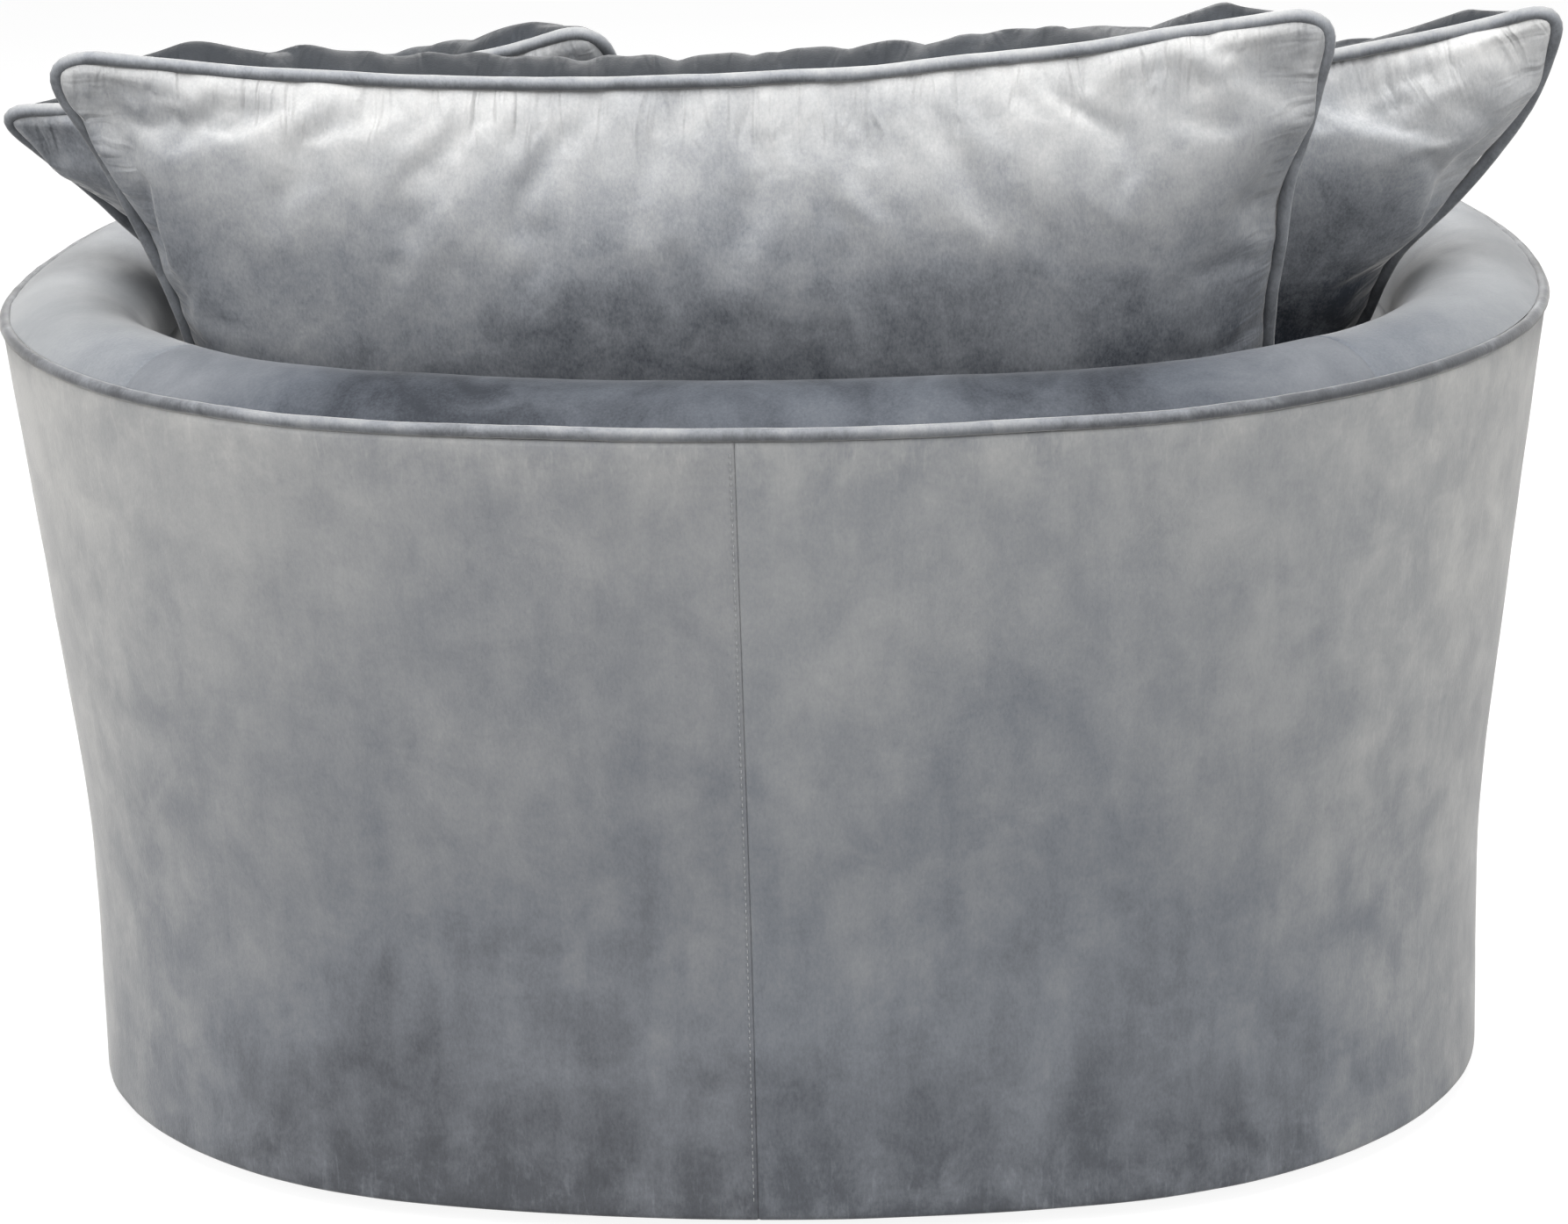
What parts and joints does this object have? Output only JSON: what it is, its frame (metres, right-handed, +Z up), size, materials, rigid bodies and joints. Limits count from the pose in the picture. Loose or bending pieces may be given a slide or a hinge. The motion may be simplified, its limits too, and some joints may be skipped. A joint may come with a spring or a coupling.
{
  "type": "swivel armchair",
  "caption": "Wide round-backed swivel armchair: velvet tub wall with piped rim on a ball-race floor base, loose seat cushion, long back cushion and side pillows.",
  "frame": {"origin": "on the floor under the middle of the chair, on the swivel axis", "axes": "+Z up; -Y to the front of the chair, +Y to its back; +X to the sitter's left"},
  "size_m": [1.25, 1.0799, 0.9241],
  "materials": {
    "velvet": "satin",
    "padding": "matte",
    "webbing": "matte",
    "dust_cloth": "matte",
    "plywood": "matte",
    "zinc_steel": "satin",
    "glide": "matte"
  },
  "bodies": {
    "floor_base": {"floor_glides": "glide", "floor_disc": "plywood", "swivel_lower_plate": "zinc_steel", "lower_screws": "zinc_steel", "king_pin": "zinc_steel", "king_washer": "zinc_steel", "king_nut": "zinc_steel"},
    "ball_ring": {"bearing_balls": "zinc_steel", "ball_cage": "zinc_steel"},
    "chair": {"swivel_upper_plate": "zinc_steel", "upper_bolts": "zinc_steel", "base_board": "plywood", "dust_cover": "dust_cloth", "frame_ribs": "plywood", "front_ribs": "plywood", "seat_ring": "plywood", "top_rail": "plywood", "outer_board": "plywood", "inner_board": "plywood", "webbing_long": "webbing", "webbing_cross": "webbing", "deck_pad": "padding", "front_edge_roll": "padding", "inner_foam": "padding", "rail_foam": "padding", "outer_wadding": "padding", "outer_cover_left": "velvet", "outer_cover_right": "velvet", "front_cover": "velvet", "band_back": "velvet", "band_left": "velvet", "band_right": "velvet", "inner_cover": "velvet", "rail_welt": "velvet", "arm_front_board_left": "plywood", "arm_front_board_right": "plywood", "arm_front_pad_left": "velvet", "arm_front_pad_right": "velvet"},
    "seat": {"seat_cushion": "velvet", "seat_welt_top": "velvet", "seat_welt_bottom": "velvet"},
    "back_pillow": {"back_cushion": "velvet", "back_cushion_piping": "velvet"},
    "left_throw_pillow": {"left_pillow": "velvet", "left_pillow_piping": "velvet"},
    "right_throw_pillow": {"right_pillow": "velvet", "right_pillow_piping": "velvet"}
  },
  "joints": [
    {"name": "swivel", "type": "hinge", "parent": "floor_base", "child": "chair", "pos_m": [0, 0, 0.04], "axis": [0, 0, 1], "continuous": true},
    {"name": "ball_roll", "type": "hinge", "parent": "floor_base", "child": "ball_ring", "pos_m": [0, 0, 0.033], "axis": [0, 0, 1], "continuous": true},
    {"name": "seat_lift", "type": "slide", "parent": "chair", "child": "seat", "axis": [0, 0, 1], "range_m": [0, 0.45]},
    {"name": "back_lift", "type": "slide", "parent": "seat", "child": "back_pillow", "axis": [0, 0, 1], "range_m": [0, 0.3]},
    {"name": "left_lift", "type": "slide", "parent": "back_pillow", "child": "left_throw_pillow", "axis": [0, 0, 1], "range_m": [0, 0.35]},
    {"name": "right_lift", "type": "slide", "parent": "back_pillow", "child": "right_throw_pillow", "axis": [0, 0, 1], "range_m": [0, 0.35]}
  ],
  "couplings": [
    {"joint": "ball_roll", "follows": "swivel", "ratio": 0.5}
  ]
}
